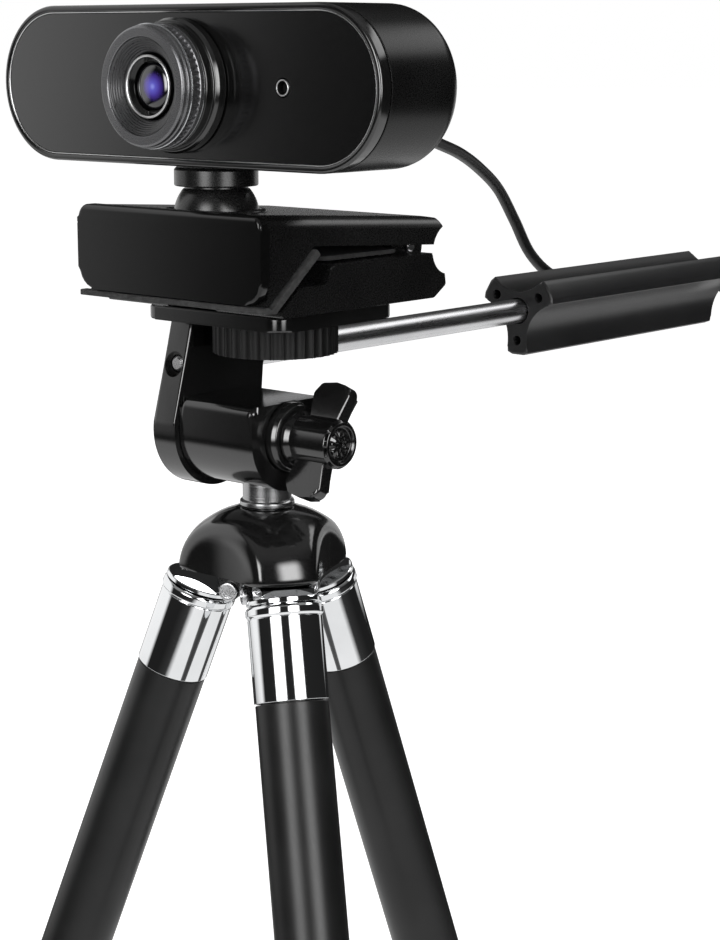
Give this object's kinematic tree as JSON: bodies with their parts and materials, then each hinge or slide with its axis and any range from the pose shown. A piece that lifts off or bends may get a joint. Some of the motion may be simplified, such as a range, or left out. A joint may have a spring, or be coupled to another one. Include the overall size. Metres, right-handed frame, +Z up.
{
  "type": "webcam on tripod",
  "caption": "Wide rounded webcam with a focus ring and a clip base, screwed to the platform of a small pan and tilt tripod with a side handle and telescopic legs.",
  "frame": {"origin": "centre of the footprint of the whole object without its cord, on the floor the feet stand on", "axes": "+Z up, the webcam looks along -Y, the pan handle points along +Y, the tilt axis is along X"},
  "size_m": [0.1446, 0.2697, 0.2851],
  "materials": {
    "gloss_black": "glossy",
    "satin_black": "satin",
    "grip_grey": "satin",
    "black_tube": "satin",
    "chrome": "polished",
    "steel": "brushed",
    "tube_metal": "satin",
    "rubber": "matte",
    "ring_grey": "satin",
    "brass": "plain",
    "lens_glass": "coated",
    "board": "matte"
  },
  "bodies": {
    "crown": {"crown_shell": "gloss_black", "crown_core": "satin_black", "leg_pin_1": "chrome", "leg_pin_2": "chrome", "leg_pin_3": "chrome"},
    "leg_1": {"leg_cap_1": "chrome", "leg_collar_1": "chrome", "leg_tube_1": "black_tube", "leg_bush_1": "satin_black"},
    "leg_1_mid": {"mid_tube_1": "tube_metal"},
    "leg_1_low": {"low_tube_1": "tube_metal", "leg_foot_1": "rubber"},
    "leg_2": {"leg_cap_2": "chrome", "leg_collar_2": "chrome", "leg_tube_2": "black_tube", "leg_bush_2": "satin_black"},
    "leg_2_mid": {"mid_tube_2": "tube_metal"},
    "leg_2_low": {"low_tube_2": "tube_metal", "leg_foot_2": "rubber"},
    "leg_3": {"leg_cap_3": "chrome", "leg_collar_3": "chrome", "leg_tube_3": "black_tube", "leg_bush_3": "satin_black"},
    "leg_3_mid": {"mid_tube_3": "tube_metal"},
    "leg_3_low": {"low_tube_3": "tube_metal", "leg_foot_3": "rubber"},
    "head": {"neck_column": "steel", "tilt_block": "gloss_black", "knob_washer": "gloss_black", "cord_lead": "rubber", "cord_coil": "rubber", "usb_plug": "satin_black"},
    "bracket": {"tilt_bracket": "gloss_black", "tilt_bolt": "steel", "platform_pad": "rubber", "clip_jaw": "satin_black", "jaw_pad": "rubber", "thread_insert": "brass", "clip_pin": "steel"},
    "knob": {"lock_knob": "gloss_black"},
    "handle": {"handle_rod": "steel", "handle_grip": "grip_grey"},
    "wheel": {"mount_wheel": "satin_black", "mount_screw": "steel"},
    "clip_upper": {"clip_plate": "satin_black", "clip_lip": "gloss_black", "lip_pad": "rubber"},
    "seat": {"swivel_seat": "satin_black"},
    "webcam": {"ball_stem": "gloss_black", "rear_shell": "satin_black", "front_bezel": "gloss_black", "face_panel": "gloss_black", "lens_base": "gloss_black", "lens_cell": "ring_grey", "lens_glass": "lens_glass", "circuit_board": "board", "image_sensor": "satin_black", "mic_ring": "ring_grey", "strain_relief": "rubber"},
    "focus": {"focus_ring": "ring_grey"}
  },
  "joints": [
    {"name": "leg_1_fold", "type": "hinge", "parent": "crown", "child": "leg_1", "pos_m": [0.00825, -0.08143, 0.16223], "axis": [0.5592, 0.829, 0], "range_deg": [0, 20]},
    {"name": "leg_1_mid_slide", "type": "slide", "parent": "leg_1", "child": "leg_1_mid", "axis": [0.2835, -0.1913, -0.9397], "range_m": [0, 0.095]},
    {"name": "leg_1_low_slide", "type": "slide", "parent": "leg_1_mid", "child": "leg_1_low", "axis": [0.2835, -0.1913, -0.9397], "range_m": [0, 0.095]},
    {"name": "leg_2_fold", "type": "hinge", "parent": "crown", "child": "leg_2", "pos_m": [-0.0035, -0.08061, 0.16223], "axis": [0.4384, -0.8988, 0], "range_deg": [0, 20]},
    {"name": "leg_2_mid_slide", "type": "slide", "parent": "leg_2", "child": "leg_2_mid", "axis": [-0.3074, -0.1499, -0.9397], "range_m": [0, 0.095]},
    {"name": "leg_2_low_slide", "type": "slide", "parent": "leg_2_mid", "child": "leg_2_low", "axis": [-0.3074, -0.1499, -0.9397], "range_m": [0, 0.095]},
    {"name": "leg_3_fold", "type": "hinge", "parent": "crown", "child": "leg_3", "pos_m": [0.00309, -0.07085, 0.16223], "axis": [-0.9976, 0.0698, 0], "range_deg": [0, 20]},
    {"name": "leg_3_mid_slide", "type": "slide", "parent": "leg_3", "child": "leg_3_mid", "axis": [0.0239, 0.3412, -0.9397], "range_m": [0, 0.095]},
    {"name": "leg_3_low_slide", "type": "slide", "parent": "leg_3_mid", "child": "leg_3_low", "axis": [0.0239, 0.3412, -0.9397], "range_m": [0, 0.095]},
    {"name": "pan", "type": "hinge", "parent": "crown", "child": "head", "pos_m": [0.00261, -0.07763, 0.18033], "axis": [0, 0, 1], "continuous": true},
    {"name": "tilt", "type": "hinge", "parent": "head", "child": "bracket", "pos_m": [0.00261, -0.07763, 0.19593], "axis": [1, 0, 0], "range_deg": [-40, 60], "deforming": ["cord_lead"]},
    {"name": "lock_turn", "type": "hinge", "parent": "bracket", "child": "knob", "pos_m": [0.01391, -0.07763, 0.19593], "axis": [1, 0, 0], "range_deg": [-90, 90]},
    {"name": "handle_turn", "type": "hinge", "parent": "bracket", "child": "handle", "pos_m": [-0.01544, -0.06223, 0.21003], "axis": [0, 1, 0], "range_deg": [-180, 180]},
    {"name": "wheel_turn", "type": "hinge", "parent": "bracket", "child": "wheel", "pos_m": [0.00261, -0.07463, 0.21643], "axis": [0, 0, 1], "continuous": true},
    {"name": "clip_open", "type": "hinge", "parent": "bracket", "child": "clip_upper", "pos_m": [0.00261, -0.04743, 0.23453], "axis": [-1, 0, 0], "range_deg": [0, 90], "deforming": ["cord_lead"]},
    {"name": "webcam_swivel", "type": "hinge", "parent": "clip_upper", "child": "seat", "pos_m": [0.00261, -0.09183, 0.24293], "axis": [0, 0, 1], "range_deg": [-60, 60], "deforming": ["cord_lead"]},
    {"name": "webcam_tip", "type": "hinge", "parent": "seat", "child": "webcam", "pos_m": [0.00261, -0.09183, 0.24293], "axis": [1, 0, 0], "range_deg": [-20, 20], "deforming": ["cord_lead"]},
    {"name": "focus_turn", "type": "hinge", "parent": "webcam", "child": "focus", "pos_m": [0.00261, -0.10863, 0.26923], "axis": [0, 1, 0], "range_deg": [-135, 135]}
  ]
}
